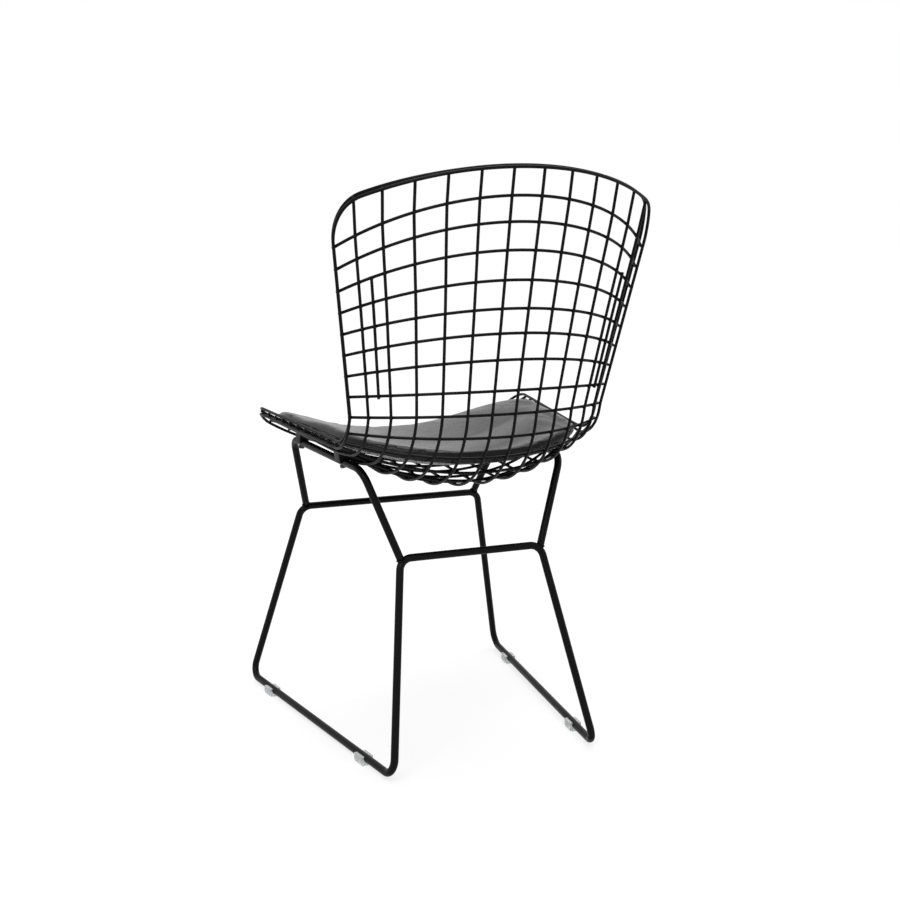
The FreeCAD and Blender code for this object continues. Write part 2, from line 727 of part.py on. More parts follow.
def seat_pad():
    """The upholstered pad, with pockets on its underside over the four clips."""
    sections = []
    for number, (row, edge, fullness) in enumerate(PAD_STATIONS):
        section = doc.addObject("Part::Feature", "pad_section_%02d" % number)
        section.Shape = pad_section(row, edge, fullness)
        sections.append(section)
    blank = doc.addObject("Part::Loft", "seat_pad_blank")
    blank.Sections = sections
    blank.Solid = True
    blank.Ruled = True
    gap = size("pocket_gap")
    length = size("clip_length") + 2 * gap
    width = size("clip_width") + 2 * gap
    pockets = []
    for side_name, side in (("left", 1), ("right", -1)):
        for place in CLIP_ROWS:
            seat = clip_seat(place, side)
            pocket = doc.addObject("Part::Box", "pad_pocket_%s_%s" % (side_name, place))
            pocket.Length = length
            pocket.Width = width
            pocket.Height = clip_top(seat) + gap
            pocket.Placement = moved(seat["frame"], -length / 2, -width / 2, 0)
            pockets.append(pocket)
    tools = doc.addObject("Part::MultiFuse", "seat_pad_pockets")
    tools.Shapes = pockets
    pad = doc.addObject("Part::Cut", "seat_pad")
    pad.Base = blank
    pad.Tool = tools
    return labelled(pad, "seat_pad")


nodes = []
nodes.append(sled_base())
nodes.append(seat_bracket("seat_bracket_left", 1))
nodes.append(seat_bracket("seat_bracket_right", -1))
for row in range(1, ROWS):
    nodes.append(cross_wire(row))
for column in range(1, COLUMNS + 1):
    nodes.append(long_wire(column))
nodes.append(short_wire("short_wire_left", 1))
nodes.append(short_wire("short_wire_right", -1))
nodes.append(rim_rod("rim_inner", 1))
nodes.append(rim_rod("rim_outer", -1))
bolts = []
for side_name, side in (("left", 1), ("right", -1)):
    for place in CLIP_ROWS:
        nodes.append(saddle_clip("saddle_clip_%s_%s" % (side_name, place), place, side))
        bolts.append(clip_bolt("bolt_%s_%s" % (side_name, place), place, side))
        nodes.append(glide("glide_%s_%s" % (side_name, place), side, place))
nodes.append(together("clip_bolts", bolts))
nodes.append(seat_pad())
doc.recompute()

for feature in doc.Objects:
    if "Invalid" in feature.State or "Error" in feature.State:
        raise RuntimeError("%s: %s" % (feature.Name, feature.State))
for node in nodes:
    shape = node.Shape
    if shape.isNull() or not shape.isValid() or not shape.Solids:
        raise RuntimeError("%s has no valid solid" % node.Label)

os.makedirs("parts", exist_ok=True)
for node in nodes:
    node.Shape.exportStep("parts/%s.step" % node.Label)
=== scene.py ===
"""Wire mesh chair: its visible surfaces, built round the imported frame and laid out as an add-on.

Metres. X runs across the chair, the chair faces -Y, Z is up, as in the frame.
"""
import math

import bmesh
import bpy
import numpy as np
from bpy.props import FloatProperty, FloatVectorProperty, IntProperty, PointerProperty
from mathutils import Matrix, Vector


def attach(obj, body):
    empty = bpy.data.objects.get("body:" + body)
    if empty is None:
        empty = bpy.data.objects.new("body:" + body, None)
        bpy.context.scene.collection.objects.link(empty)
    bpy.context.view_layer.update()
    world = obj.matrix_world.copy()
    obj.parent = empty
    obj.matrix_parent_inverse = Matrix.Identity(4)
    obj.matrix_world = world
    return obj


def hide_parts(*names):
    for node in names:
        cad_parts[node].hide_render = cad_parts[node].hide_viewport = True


bl_info = {
    "name": "Wire mesh chair",
    "version": (1, 0, 0),
    "blender": (4, 5, 0),
    "location": "View3D > Sidebar > Chair",
    "description": "Builds a powder-coated wire mesh chair with a leather seat pad",
    "category": "Add Mesh",
}

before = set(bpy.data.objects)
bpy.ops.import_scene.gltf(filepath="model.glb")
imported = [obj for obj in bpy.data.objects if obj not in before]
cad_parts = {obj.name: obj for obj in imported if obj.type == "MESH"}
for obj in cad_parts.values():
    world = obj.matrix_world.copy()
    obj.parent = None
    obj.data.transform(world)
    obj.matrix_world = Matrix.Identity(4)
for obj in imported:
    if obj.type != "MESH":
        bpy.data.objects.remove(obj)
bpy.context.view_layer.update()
MM = 0.001
COLUMNS = 12
ROWS = 23
BACK_ROWS = 9
# Millimetres by which the middles of the first cross wires lie beyond their even places, by row
ROW_SHIFTS = (0.0, 0.5, -2.5, -2.4, 0.0, 1.4, -1.4, -1.5, 4.9, 2.1, 0.0)
SHORT_WIRE_ROWS = (3, 8)
SIDES = ("left", "right")
PLACES = ("rear", "front")
# A direction that no rod of the base runs along, from which its round section starts
ROD_UPWARD = (0.3, 0.4, 0.87)
# Rows between which the seat pad spans the hollow behind the seat: its underside, then its top
HOLLOW_ROWS = (11.55, 18.0)
RISE_ROWS = (11.0, 17.5)
# Sides of the round skins
WIRE_SIDES = 12
RIM_SIDES = 16
ROD_SIDES = 24
WELT_SIDES = 10
# Rounding of the fittings' edges
CLIP_EDGE = 0.5 * MM
GLIDE_EDGE = 0.8 * MM
BOLT_EDGE = 0.3 * MM
# Lamps: name, place, size and power
LAMPS = (("key", (1.2, 1.6, 2.6), 1.6, 42.0), ("overhead", (-0.4, -0.6, 3.0), 2.2, 40.0))


def linear(hex_colour):
    """Linear red, green, blue and alpha of an sRGB hex colour."""
    channels = [int(hex_colour[n:n + 2], 16) / 255 for n in (1, 3, 5)]
    flat = [c / 12.92 if c <= 0.04045 else ((c + 0.055) / 1.055) ** 2.4 for c in channels]
    return (*flat, 1.0)


def length(name, text, default):
    """A length property, in metres."""
    return FloatProperty(name=name, description=text, default=default, unit="LENGTH", precision=4)


def turn(name, text, degrees):
    """An angle property, in radians from a default in degrees."""
    return FloatProperty(name=name, description=text, default=math.radians(degrees),
                         subtype="ANGLE", unit="ROTATION")


def share(name, text, default):
    """A plain number property."""
    return FloatProperty(name=name, description=text, default=default)


def tint(name, text, default):
    """A colour property from an sRGB hex value."""
    return FloatVectorProperty(name=name, description=text, default=linear(default), size=4,
                               subtype="COLOR", min=0, max=1)


def spot(name, text, default):
    """A point property, in metres."""
    return FloatVectorProperty(name=name, description=text, default=default, subtype="XYZ")


class ShellSizes(bpy.types.PropertyGroup):
    """Sizes of the welded wire shell."""
    wire: length("Mesh wire", "Its diameter", 0.0039)
    rim: length("Rim rod", "Its diameter", 0.0041)
    layer: length("Layer", "Cross wires' middle out to the long wires' middle", 0.0036)
    rim_reach: length("Rim reach", "Cross wires' middle to a rim rod's middle", 0.0039)
    inner_out: length("Inner rim out", "Inner rim rod, outwards along the shell", 0.0022)
    outer_out: length("Outer rim out", "Outer rim rod, outwards along the shell", -0.0010)
    crest_out: length("Crest out", "Inner rim rod, outwards in the middle of the crest", 0.0006)
    overrun: length("Overrun", "Cross wire's end beyond the middle of the rim", 0.003)
    long_overrun: share("Long overrun", "Long wire's end beyond the rim, in rows", 0.03)
    short_overrun: share("Short overrun", "Short wire's end beyond its last weld, in rows", 0.09)
    weld_tall: length("Weld height", "Half the height of a weld's nugget", 0.0015)
    weld_wide: length("Weld width", "Half the width of a weld's nugget", 0.00255)
    crest_y: length("Crest depth", "Middle of the top edge, behind the origin", 0.2662)
    crest_z: length("Crest height", "Middle of the top edge, above the floor", 0.7775)
    back_length: length("Back", "Length of the back along its middle", 0.3191)
    scoop_length: length("Scoop", "Length of the scoop along its middle", 0.179)
    seat_length: length("Seat", "Straight part of the seat along its middle", 0.2549)
    lip_length: length("Lip", "Rolled front lip along its middle", 0.037)
    lean_top: turn("Lean at the top", "Lean of the back at its top", 11.7)
    lean_low: turn("Lean at the waist", "Lean of the back at the waist", 13.3)
    seat_rise: turn("Seat rise", "Rise of the seat towards the front", 3.0)
    lip_drop: turn("Lip drop", "Turn of the front lip", 28.0)
    wing_y: length("Wing depth", "Top corner of the side edge, behind the origin", 0.1809)
    wing_z: length("Wing height", "Top corner of the side edge, above the floor", 0.729)
    wing_lean: turn("Wing lean", "Lean of the back's side edge", 12.4)
    wing_length: length("Wing length", "Straight side edge of the back", 0.2654)
    waist_bend: length("Waist bend", "Radius of the side edge at the waist", 0.0546)
    side_rise: turn("Side rise", "Rise of the seat's side edge", 3.3)
    side_length: length("Side length", "Straight side edge of the seat", 0.2641)
    first_gap: length("First gap", "Top corner to the first cross wire", 0.0477)
    half_top: length("Half top", "Half width at the top corners", 0.2178)
    half_waist: length("Half waist", "Half width where the waist bend starts", 0.1771)
    half_rear: length("Half rear", "Half width where the waist bend ends", 0.1785)
    half_front: length("Half front", "Half width at the front corners", 0.215)
    pitch: share("Pitch", "Pitch of the long wires, as a share", 0.16)
    outer_pitch: share("Outer pitch", "Place of the outermost long wires, against even", 0.986)
    top_corner: share("Top corner", "Rounding of the top corners, as a share", 0.17)
    front_corner: share("Front corner", "Rounding of the front corners, as a share", 0.12)
    top_rows: share("Top rows", "Rounding of the top corners the other way, in rows", 0.9)
    front_rows: share("Front rows", "Rounding of the front corners the other way, in rows", 1.1)


class BaseSizes(bpy.types.PropertyGroup):
    """Sizes of the bent rod base and the two brackets."""
    rod: length("Rod", "Diameter with its coat", 0.0104)
    bend: length("Bend", "Bend radius of the brackets, to the rod's middle", 0.026)
    corner: length("Corner", "Bend radius of the sled's corners, to the rod's middle", 0.018)
    setback: length("Setback", "A bracket's foot, short of the base rod's middle", 0.002)
    foot_rear: spot("Rear foot", "Rear corner of a runner", (0.146, 0.189, 0.0095))
    foot_front: spot("Front foot", "Front corner of a runner", (0.210, -0.277, 0.0095))
    knee_rear: spot("Rear knee", "Rear leg and crossbar", (0.103, 0.1025, 0.2743))
    knee_front: spot("Front knee", "Front leg and crossbar", (0.145, -0.2065, 0.2879))
    bar_rear: spot("Rear of the bar", "Rear corner of the bar", (0.1459, 0.0760, 0.3914))
    bar_front: spot("Front of the bar", "Front corner of the bar", (0.1710, -0.1550, 0.4020))
    shift_rear: length("Rear shift", "Rear foot, down the leg from the knee's middle", 0.0025)
    shift_front: length("Front shift", "Front foot, likewise", -0.005)
    bead: length("Bead", "Radius of a weld bead", 0.0009)


class PadSizes(bpy.types.PropertyGroup):
    """Sizes of the seat pad."""
    thick: length("Thickness", "Pad at its sides", 0.0177)
    crown: length("Crown", "Middle above the sides, before the filling", 0.0052)
    crown_power: share("Crown power", "Power of the crown's fall to the sides", 2.7)
    lift: length("Lift", "Underside above the cross wires' middle", 0.0024)
    hollow: length("Hollow", "Extra lift of the underside behind the seat", 0.0206)
    hollow_power: share("Hollow power", "Below one, it is highest near the rear", 0.625)
    tuck: share("Tuck", "Underside's rear edge, inwards, as a share", 0.063)
    rise: length("Rise", "Extra height of the top behind the seat", 0.0078)
    corner_drop: length("Corner drop", "Fall of the top at its front corners", 0.0071)
    side_fall: length("Side fall", "Fall of the top at its side edges", 0.0057)
    front_rise: length("Front rise", "Rise of the top along its front edge", 0.0028)
    rear_row: share("Rear edge", "Row of the pad's rear edge", 11.15)
    front_row: share("Front edge", "Row of the pad's front edge", 22.9)
    half_width: share("Half width", "Half width as a share of the shell's", 0.99)
    rear_square: share("Rear squareness", "Power of the outline's rear corners", 7.8)
    front_square: share("Front squareness", "Power of the outline's front corners", 4.3)
    low_inset: share("Low inset", "Where the side turns under, as a share", 0.985)
    high_inset: share("High inset", "Where the side turns over, as a share", 0.971)
    welt: length("Welt", "Radius of the sewn edge round the side", 0.0008)
    welt_level: share("Welt level", "Height of the sewn edge up the side", 0.42)
    voxel: length("Voxel", "Size of the faces that are filled", 0.005)
    pressure: share("Pressure", "Pressure of the filling", 4.0)
    cap: length("Cap", "Most that the filling may move a point", 0.003)
    frames: IntProperty(name="Frames", description="Steps of the filling", default=20)


class Finishes(bpy.types.PropertyGroup):
    """Colours of the finishes, with a painted shade for the leather's grooves."""
    coat: tint("Powder coat", "Satin black powder coat", "#090909")
    leather: tint("Leather", "Black leather, its raised grain", "#0e0e0f")
    # painted shade: the leather's colour in the grain's grooves, darker than on the pebbles
    leather_groove_shade: tint("Leather folds", "Black leather, between the grain", "#080809")
    nylon: tint("Nylon", "Black moulded nylon", "#1a1a1a")
    clear: tint("Glide", "Translucent moulded plastic", "#eef0f1")
    steel: tint("Bolt", "Black oxide steel", "#3a3a3c")
    floor: tint("Floor", "Pale floor", "#ffffff")


def walk(start_y, start_z, pieces, distance):
    """Side-view chain of lines and arcs, for a whole array of distances along it.

    Each piece turns steadily from its first heading to its last, where 0 points down and a
    quarter turn to the front, so its share of the way is the integral of the heading's sine and
    cosine. The last piece runs on past its end.
    """
    y = np.full_like(distance, start_y)
    z = np.full_like(distance, start_z)
    left = distance.copy()
    straight = 1e-6
    for number, (piece, first, last) in enumerate(pieces):
        step = left if number == len(pieces) - 1 else np.minimum(left, piece)
        rate = (last - first) / piece
        if abs(rate) < straight:
            y = y - math.sin(first) * step
            z = z - math.cos(first) * step
        else:
            heading = first + rate * step
            y = y + (np.cos(heading) - math.cos(first)) / rate
            z = z - (np.sin(heading) - math.sin(first)) / rate
        left = left - step
    return y, z


def shell_point(across, row):
    """Points of the surface through the middles of the cross wires.

    Row runs from 0 at the crest to 23 at the front lip and across from -1 to 1 between the side
    edges. Each row is a circular arc from side edge to side edge through the middle profile.
    """
    s = bpy.context.scene.chair_shell
    across, row = np.broadcast_arrays(np.asarray(across, float), np.asarray(row, float))
    seat = math.pi / 2 + s.seat_rise
    middle = [
        (s.back_length, s.lean_top, s.lean_low),
        (s.scoop_length, s.lean_low, seat),
        (s.seat_length, seat, seat),
        (s.lip_length, seat, seat - s.lip_drop),
    ]
    total = sum(piece[0] for piece in middle)
    shift = np.interp(row, np.arange(len(ROW_SHIFTS)), ROW_SHIFTS) * MM
    middle_y, middle_z = walk(s.crest_y, s.crest_z, middle, total * row / ROWS + shift)
    rise = math.pi / 2 + s.side_rise
    bend = s.waist_bend * (rise - s.wing_lean)
    lower = s.wing_length + (bend + s.side_length) * (row - BACK_ROWS) / (ROWS - BACK_ROWS)
    back = s.first_gap + (s.wing_length - s.first_gap) * (row - 1) / (BACK_ROWS - 1)
    distance = np.where(row <= 1, s.first_gap * row, np.where(row <= BACK_ROWS, back, lower))
    edge = [(s.wing_length, s.wing_lean, s.wing_lean), (bend, s.wing_lean, rise),
            (s.side_length, rise, rise)]
    edge_y, edge_z = walk(s.wing_y, s.wing_z, edge, distance)
    stops = [0, s.wing_length, s.wing_length + bend, s.wing_length + bend + s.side_length]
    widths = [s.half_top, s.half_waist, s.half_rear, s.half_front]
    half = np.interp(distance, stops, widths)
    up_y = edge_y - middle_y
    up_z = edge_z - middle_z
    depth = np.hypot(up_y, up_z)
    radius = (half * half + depth * depth) / (2 * depth)
    angle = across * 2 * np.arctan2(depth, half)
    lift = radius * (1 - np.cos(angle)) / depth
    return np.stack([radius * np.sin(angle), middle_y + up_y * lift, middle_z + up_z * lift], -1)


def full_turn(count):
    """Angles evenly round a circle."""
    return 2 * np.pi * np.arange(count) / count


def unit(vectors):
    """The same directions at length one."""
    return vectors / np.linalg.norm(vectors, axis=-1, keepdims=True)


def shell_sideways(across, row):
    """Slope of that surface along its rows, towards the sitter's left."""
    step = 0.001
    return shell_point(across + step, row) - shell_point(across - step, row)


def shell_normal(across, row):
    """Unit normals of that surface, towards the sitter: cross product of its two slopes."""
    step = 0.01
    across = np.asarray(across, float)
    row = np.asarray(row, float)
    onwards = shell_point(across, row + step) - shell_point(across, row - step)
    return unit(np.cross(onwards, shell_sideways(across, row)))


def shell_offset(across, row, distance):
    """Points at a distance from that surface, towards the sitter."""
    distance = np.asarray(distance, float)[..., None]
    return shell_point(across, row) + shell_normal(across, row) * distance


def column_share(column):
    """Place of a long wire between the side edges."""
    s = bpy.context.scene.chair_shell
    even = (column - (COLUMNS + 1) / 2) * s.pitch
    return even * s.outer_pitch if column in (1, COLUMNS) else even


def short_share():
    """Place of the left short wire, halfway between the two outermost long wires."""
    return (column_share(COLUMNS) + column_share(COLUMNS - 1)) / 2


def smooth_step(way):
    """3 t^2 - 2 t^3, where t is the way kept between 0 and 1."""
    way = np.clip(way, 0, 1)
    return way * way * (3 - 2 * way)


def skin_faces(rings, sides, closed=False):
    """Faces of a skin of rings, closed on itself or by a fan to one more point at either end."""
    ring = np.arange(rings if closed else rings - 1)[:, None] * sides
    side = np.arange(sides)[None, :]
    next_ring = (ring + sides) % (rings * sides)
    next_side = (side + 1) % sides
    corners = [ring + side, next_ring + side, next_ring + next_side, ring + next_side]
    faces = np.stack(corners, -1).reshape(-1, 4).tolist()
    if not closed:
        count = rings * sides
        for n in range(sides):
            after = (n + 1) % sides
            faces.append([count, n, after])
            faces.append([count + 1, count - sides + after, count - sides + n])
    return faces


def tube_parts(path, upward, radius, sides, closed=False):
    """A round skin along a path, as points and faces.

    Point (i, j) is path[i] + radius[i] * (side[i] * cos a[j] + up[i] * sin a[j]), where up is
    the given direction made square to the path and side is tangent x up. An open end is closed
    by a fan to one point.
    """
    path = np.asarray(path, float)
    if closed:
        tangent = np.roll(path, -1, 0) - np.roll(path, 1, 0)
    else:
        tangent = np.gradient(path, axis=0)
    tangent = unit(tangent)
    upward = np.broadcast_to(np.asarray(upward, float), path.shape)
    up = unit(upward - tangent * np.sum(upward * tangent, -1, keepdims=True))
    side = np.cross(tangent, up)
    angle = full_turn(sides)
    ring = side[:, None] * np.cos(angle)[None, :, None] + up[:, None] * np.sin(angle)[None, :, None]
    radius = np.broadcast_to(np.asarray(radius, float), (len(path),))
    points = (path[:, None] + ring * radius[:, None, None]).reshape(-1, 3)
    if not closed:
        points = np.vstack([points, path[0], path[-1]])
    return points, skin_faces(len(path), sides, closed)


def merged(parts):
    """Several sets of points and faces as one."""
    points = []
    faces = []
    start = 0
    for some_points, some_faces in parts:
        points.append(some_points)
        faces += [[corner + start for corner in face] for face in some_faces]
        start += len(some_points)
    return np.vstack(points), faces


def smooth_shaded(mesh):
    """Shade all faces of a mesh smooth."""
    mesh.polygons.foreach_set("use_smooth", [True] * len(mesh.polygons))


def place_piece(name, mesh, material):
    """A smooth-shaded object with one material, on the chair's one body."""
    smooth_shaded(mesh)
    mesh.materials.append(material)
    piece = bpy.data.objects.new(name, mesh)
    bpy.context.scene.collection.objects.link(piece)
    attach(piece, "root")
    return piece


def new_piece(name, parts, material):
    """The same from points and faces."""
    points, faces = parts
    mesh = bpy.data.meshes.new(name)
    mesh.from_pydata(np.asarray(points).tolist(), [], faces)
    mesh.update()
    return place_piece(name, mesh, material)


def node(tree, kind, settings=None, links=None):
    """Add a shader node, set its values and join its inputs to other nodes' outputs."""
    made = tree.nodes.new(kind)
    for key, value in (settings or {}).items():
        if isinstance(key, str) and hasattr(made, key):
            setattr(made, key, value)
        else:
            made.inputs[key].default_value = value
    for key, (source, output) in (links or {}).items():
        tree.links.new(source.outputs[output], made.inputs[key])
    return made


def fresh_tree(owner, output_kind):
    """The emptied node tree of a material or a world, and its new output."""
    owner.use_nodes = True
    owner.node_tree.nodes.clear()
    return owner.node_tree, node(owner.node_tree, output_kind)


def new_material(name, settings):
    """A node material whose shader has these values, or the one that has this name already."""
    material = bpy.data.materials.get(name)
    if material:
        return material, None, None
    material = bpy.data.materials.new(name)
    tree, output = fresh_tree(material, "ShaderNodeOutputMaterial")
    shader = node(tree, "ShaderNodeBsdfPrincipled", settings)
    tree.links.new(shader.outputs[0], output.inputs[0])
    return material, tree, shader


def grain_noise(tree, scale, detail, roughness=0.5):
    """Noise in the object's own coordinates, at a scale in waves a metre."""
    place = node(tree, "ShaderNodeTexCoord")
    return node(tree, "ShaderNodeTexNoise",
                {"Scale": scale, "Detail": detail, "Roughness": roughness},
                {"Vector": (place, "Object")})


def vary_roughness(tree, shader, source, span, roughness):
    """A texture between the two values of span moves the roughness between its two."""
    gloss = node(tree, "ShaderNodeMapRange",
                 {"From Min": span[0], "From Max": span[1], "To Min": roughness[0],
                  "To Max": roughness[1]}, {"Value": source})
    tree.links.new(gloss.outputs[0], shader.inputs["Roughness"])


def raise_surface(tree, shader, source, strength, height):
    """A texture raises the surface, by this height at full strength."""
    bump = node(tree, "ShaderNodeBump", {"Strength": strength, "Distance": height},
                {"Height": source})
    tree.links.new(bump.outputs[0], shader.inputs["Normal"])


def satin_powder_coat():
    """Polyester powder, sprayed and baked: satin black with a fine orange peel."""
    colour = bpy.context.scene.chair_finish.coat
    settings = {"Base Color": colour, "IOR": 1.5, "Specular IOR Level": 0.09}
    material, tree, shader = new_material("satin_powder_coat", settings)
    if tree is None:
        return material
    # orange peel of about 1 mm, drawn at 1.6 mm so that it shows
    peel = grain_noise(tree, 620.0, 2.0)
    raise_surface(tree, shader, (peel, "Fac"), 0.25, 0.12 * MM)
    # rubbed and dusty places about 4 cm apart
    cloud = grain_noise(tree, 26.0, 4.0)
    vary_roughness(tree, shader, (cloud, "Fac"), (0.3, 0.7), (0.3, 0.42))
    return material


def grained_leather():
    """Chrome-tanned black leather with a printed grain and a semi-gloss top coat, and painted shade
    in the grain's grooves.
    """
    finish = bpy.context.scene.chair_finish
    settings = {"IOR": 1.5, "Specular IOR Level": 0.2}
    material, tree, shader = new_material("grained_leather", settings)
    if tree is None:
        return material
    place = node(tree, "ShaderNodeTexCoord")
    # pebbles of 1.4 mm, as on furniture leather, with grooves that wander by half a millimetre
    warp = grain_noise(tree, 300.0, 3.0)
    wander = (0.6 * MM, 0.6 * MM, 0.6 * MM)
    shift = node(tree, "ShaderNodeVectorMath", {"operation": "MULTIPLY_ADD", 1: wander},
                 {0: (warp, "Color"), 2: (place, "Object")})
    pebble = node(tree, "ShaderNodeTexVoronoi", {"feature": "DISTANCE_TO_EDGE", "Scale": 700.0},
                  {"Vector": (shift, "Vector")})
    groove = node(tree, "ShaderNodeMapRange", {"From Min": 0.0, "From Max": 0.12},
                  {"Value": (pebble, "Distance")})
    # soft creases about 2 cm apart
    crease = grain_noise(tree, 60.0, 5.0, 0.6)
    height = node(tree, "ShaderNodeMath", {"operation": "MULTIPLY_ADD", 1: 0.6},
                  {0: (groove, "Result"), 2: (crease, "Fac")})
    # painted shade: the grooves take the darker colour, as the shade that falls in them
    painted_groove_shade = node(tree, "ShaderNodeMix",
                {"data_type": "RGBA", 6: finish.leather_groove_shade, 7: finish.leather},
                {0: (groove, "Result")})
    tree.links.new(painted_groove_shade.outputs[2], shader.inputs["Base Color"])
    vary_roughness(tree, shader, (crease, "Fac"), (0.3, 0.7), (0.22, 0.3))
    raise_surface(tree, shader, (height, "Value"), 0.15, 0.3 * MM)
    return material


def fine_grained(name, settings, scale, detail, roughness, strength):
    """A finish whose one fine grain moves its roughness and raises it by up to 0.1 mm."""
    material, tree, shader = new_material(name, settings)
    if tree is not None:
        grain = (grain_noise(tree, scale, detail), "Fac")
        vary_roughness(tree, shader, grain, (0.0, 1.0), roughness)
        raise_surface(tree, shader, grain, strength, 0.1 * MM)
    return material


def moulded_nylon():
    """Injection-moulded nylon 6: a dull, slightly cloudy black."""
    colour = bpy.context.scene.chair_finish.nylon
    settings = {"Base Color": colour, "IOR": 1.53, "Specular IOR Level": 0.2}
    # the mould's eroded face, with pits about 1 mm apart
    return fine_grained("moulded_nylon", settings, 900.0, 2.0, (0.42, 0.6), 0.3)


def clear_polypropylene():
    """Injection-moulded polypropylene: milky, with a soft gloss."""
    colour = bpy.context.scene.chair_finish.clear
    settings = {"Base Color": colour, "IOR": 1.49, "Transmission Weight": 0.45}
    # haze and scuffs about 4 mm apart
    return fine_grained("clear_polypropylene", settings, 240.0, 3.0, (0.3, 0.45), 0.2)


def black_oxide_steel():
    """Hardened steel bolt, blackened and oiled."""
    settings = {"Base Color": bpy.context.scene.chair_finish.steel, "Metallic": 1.0}
    # an uneven film of oil, in patches of 2.5 mm
    return fine_grained("black_oxide_steel", settings, 400.0, 3.0, (0.3, 0.5), 0.2)


def cut_ends(values, step):
    """The same parameters with two more close to both ends, for a wire's bevelled tips."""
    near = np.array([1, 2]) * step
    first = values[0] + np.sign(values[1] - values[0]) * near
    last = values[-1] - np.sign(values[-1] - values[-2]) * near[::-1]
    return np.concatenate([values[:1], first, values[1:-1], last, values[-1:]])


def tip_radius(path, radius):
    """Radius along a wire with bevelled ends: r (1 - loss (1 - d / bevel)^2), d from an end."""
    steps = np.linalg.norm(np.diff(path, axis=0), axis=1)
    along = np.concatenate([[0.0], np.cumsum(steps)])
    nearest = np.minimum(along, along[-1] - along)
    bevel = 0.6 * MM
    loss = 0.4
    return radius * (1 - loss * np.clip(1 - nearest / bevel, 0, 1) ** 2)


def mesh_wire(name, across, row, distance):
    """One mesh wire through places on the shell, at a distance from its surface."""
    wire = bpy.context.scene.chair_shell.wire
    path = shell_offset(across, row, distance)
    parts = tube_parts(path, shell_normal(across, row), tip_radius(path, wire / 2), WIRE_SIDES)
    return new_piece(name, parts, satin_powder_coat())


class CHAIR_OT_cross_wires(bpy.types.Operator):
    """Wires across the shell, from side edge to side edge"""
    bl_idname = "chair.cross_wires"
    bl_label = "Cross wires"

    def execute(self, context):
        s = context.scene.chair_shell
        strip = 0.03
        tip_step = 0.0015
        for row in range(1, ROWS):
            # the overrun in metres as a share of the half width, by the slope of an edge strip
            edge = shell_point(1.0, row) - shell_point(1.0 - strip, row)
            extra = s.overrun * strip / float(np.linalg.norm(edge))
            across = cut_ends(np.linspace(-1 - extra, 1 + extra, 81), tip_step)
            piece = mesh_wire("wire_across_%02d" % row, across, row, 0.0)
            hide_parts("cross_wire_%02d" % row)
        return {"FINISHED"}


class CHAIR_OT_long_wires(bpy.types.Operator):
    """Wires from the crest down the back, through the scoop and out to the front lip"""
    bl_idname = "chair.long_wires"
    bl_label = "Long wires"

    def execute(self, context):
        s = context.scene.chair_shell
        tip_step = 0.012
        rows = np.linspace(-s.long_overrun, ROWS + s.long_overrun, 181)
        rows = cut_ends(rows, tip_step)
        for column in range(1, COLUMNS + 1):
            across = np.full_like(rows, column_share(column))
            piece = mesh_wire("wire_down_%02d" % column, across, rows, -s.layer)
            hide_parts("long_wire_%02d" % column)
        first, last = SHORT_WIRE_ROWS
        rows = np.linspace(first - s.short_overrun, last + s.short_overrun, 61)
        rows = cut_ends(rows, tip_step)
        for name, side in zip(SIDES, (1, -1)):
            across = np.full_like(rows, side * short_share())
            piece = mesh_wire("wire_short_" + name, across, rows, -s.layer)
            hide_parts("short_wire_" + name)
        return {"FINISHED"}


def rim_places():
    """Places (across, row) all round the rim, evenly enough for a smooth rod.

    Straight runs along the crest, the sides and the lip, joined by quarter ellipses.
    """
    s = bpy.context.scene.chair_shell
    quarter = np.radians(np.linspace(0, 90, 20))[1:-1]
    top = s.top_corner
    front = s.front_corner
    crest = np.linspace(0, 1 - top, 24)
    side = np.linspace(s.top_rows, ROWS - s.front_rows, 150)
    lip = np.linspace(1 - front, 0, 30)
    across = np.concatenate([crest, 1 - top + top * np.sin(quarter), np.ones_like(side),
                             1 - front + front * np.cos(quarter), lip])
    row = np.concatenate([np.zeros_like(crest), s.top_rows * (1 - np.cos(quarter)), side,
                          ROWS - s.front_rows * (1 - np.sin(quarter)), np.full_like(lip, ROWS)])
    return np.concatenate([across, -across[-2:0:-1]]), np.concatenate([row, row[-2:0:-1]])


class CHAIR_OT_rims(bpy.types.Operator):
    """Two rods that hold the wires' ends between them"""
    bl_idname = "chair.rims"
    bl_label = "Rims"

    def execute(self, context):
        s = context.scene.chair_shell
        corner_from = 0.3
        corner_over = 0.55
        across, row = rim_places()
        normal = shell_normal(across, row)
        # round the cross wires at the sides, and round the long wires at the crest and the lip
        blend = smooth_step((1 - np.abs(across)) / (1 - column_share(COLUMNS)))
        # how far each rod lies outwards changes from the middle of the crest to the corners
        corner = smooth_step((np.abs(across) - corner_from) / corner_over)[:, None]
        for name, side, middle, out in (("inner", 1, s.crest_out, s.inner_out),
                                        ("outer", -1, 0.0, s.outer_out)):
            path = shell_offset(across, row, side * s.rim_reach - s.layer * blend)
            along = unit(np.roll(path, -1, 0) - np.roll(path, 1, 0))
            path = path + np.cross(normal, along) * (middle + (out - middle) * corner)
            parts = tube_parts(path, normal, s.rim / 2, RIM_SIDES, closed=True)
            piece = new_piece("rim_rod_" + name, parts, satin_powder_coat())
            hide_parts("rim_" + name)
        return {"FINISHED"}


def squashed_ball(wide, tall):
    """A ball of few faces, with one half size in its first two directions and one in its third."""
    rings = 5
    sides = 10
    polar = np.pi * np.arange(1, rings + 1) / (rings + 1)
    around = full_turn(sides)
    ball = np.stack([wide * np.outer(np.sin(polar), np.cos(around)),
                     wide * np.outer(np.sin(polar), np.sin(around)),
                     tall * np.outer(np.cos(polar), np.ones(sides))], -1).reshape(-1, 3)
    return np.vstack([ball, [0, 0, tall], [0, 0, -tall]]), skin_faces(rings, sides)


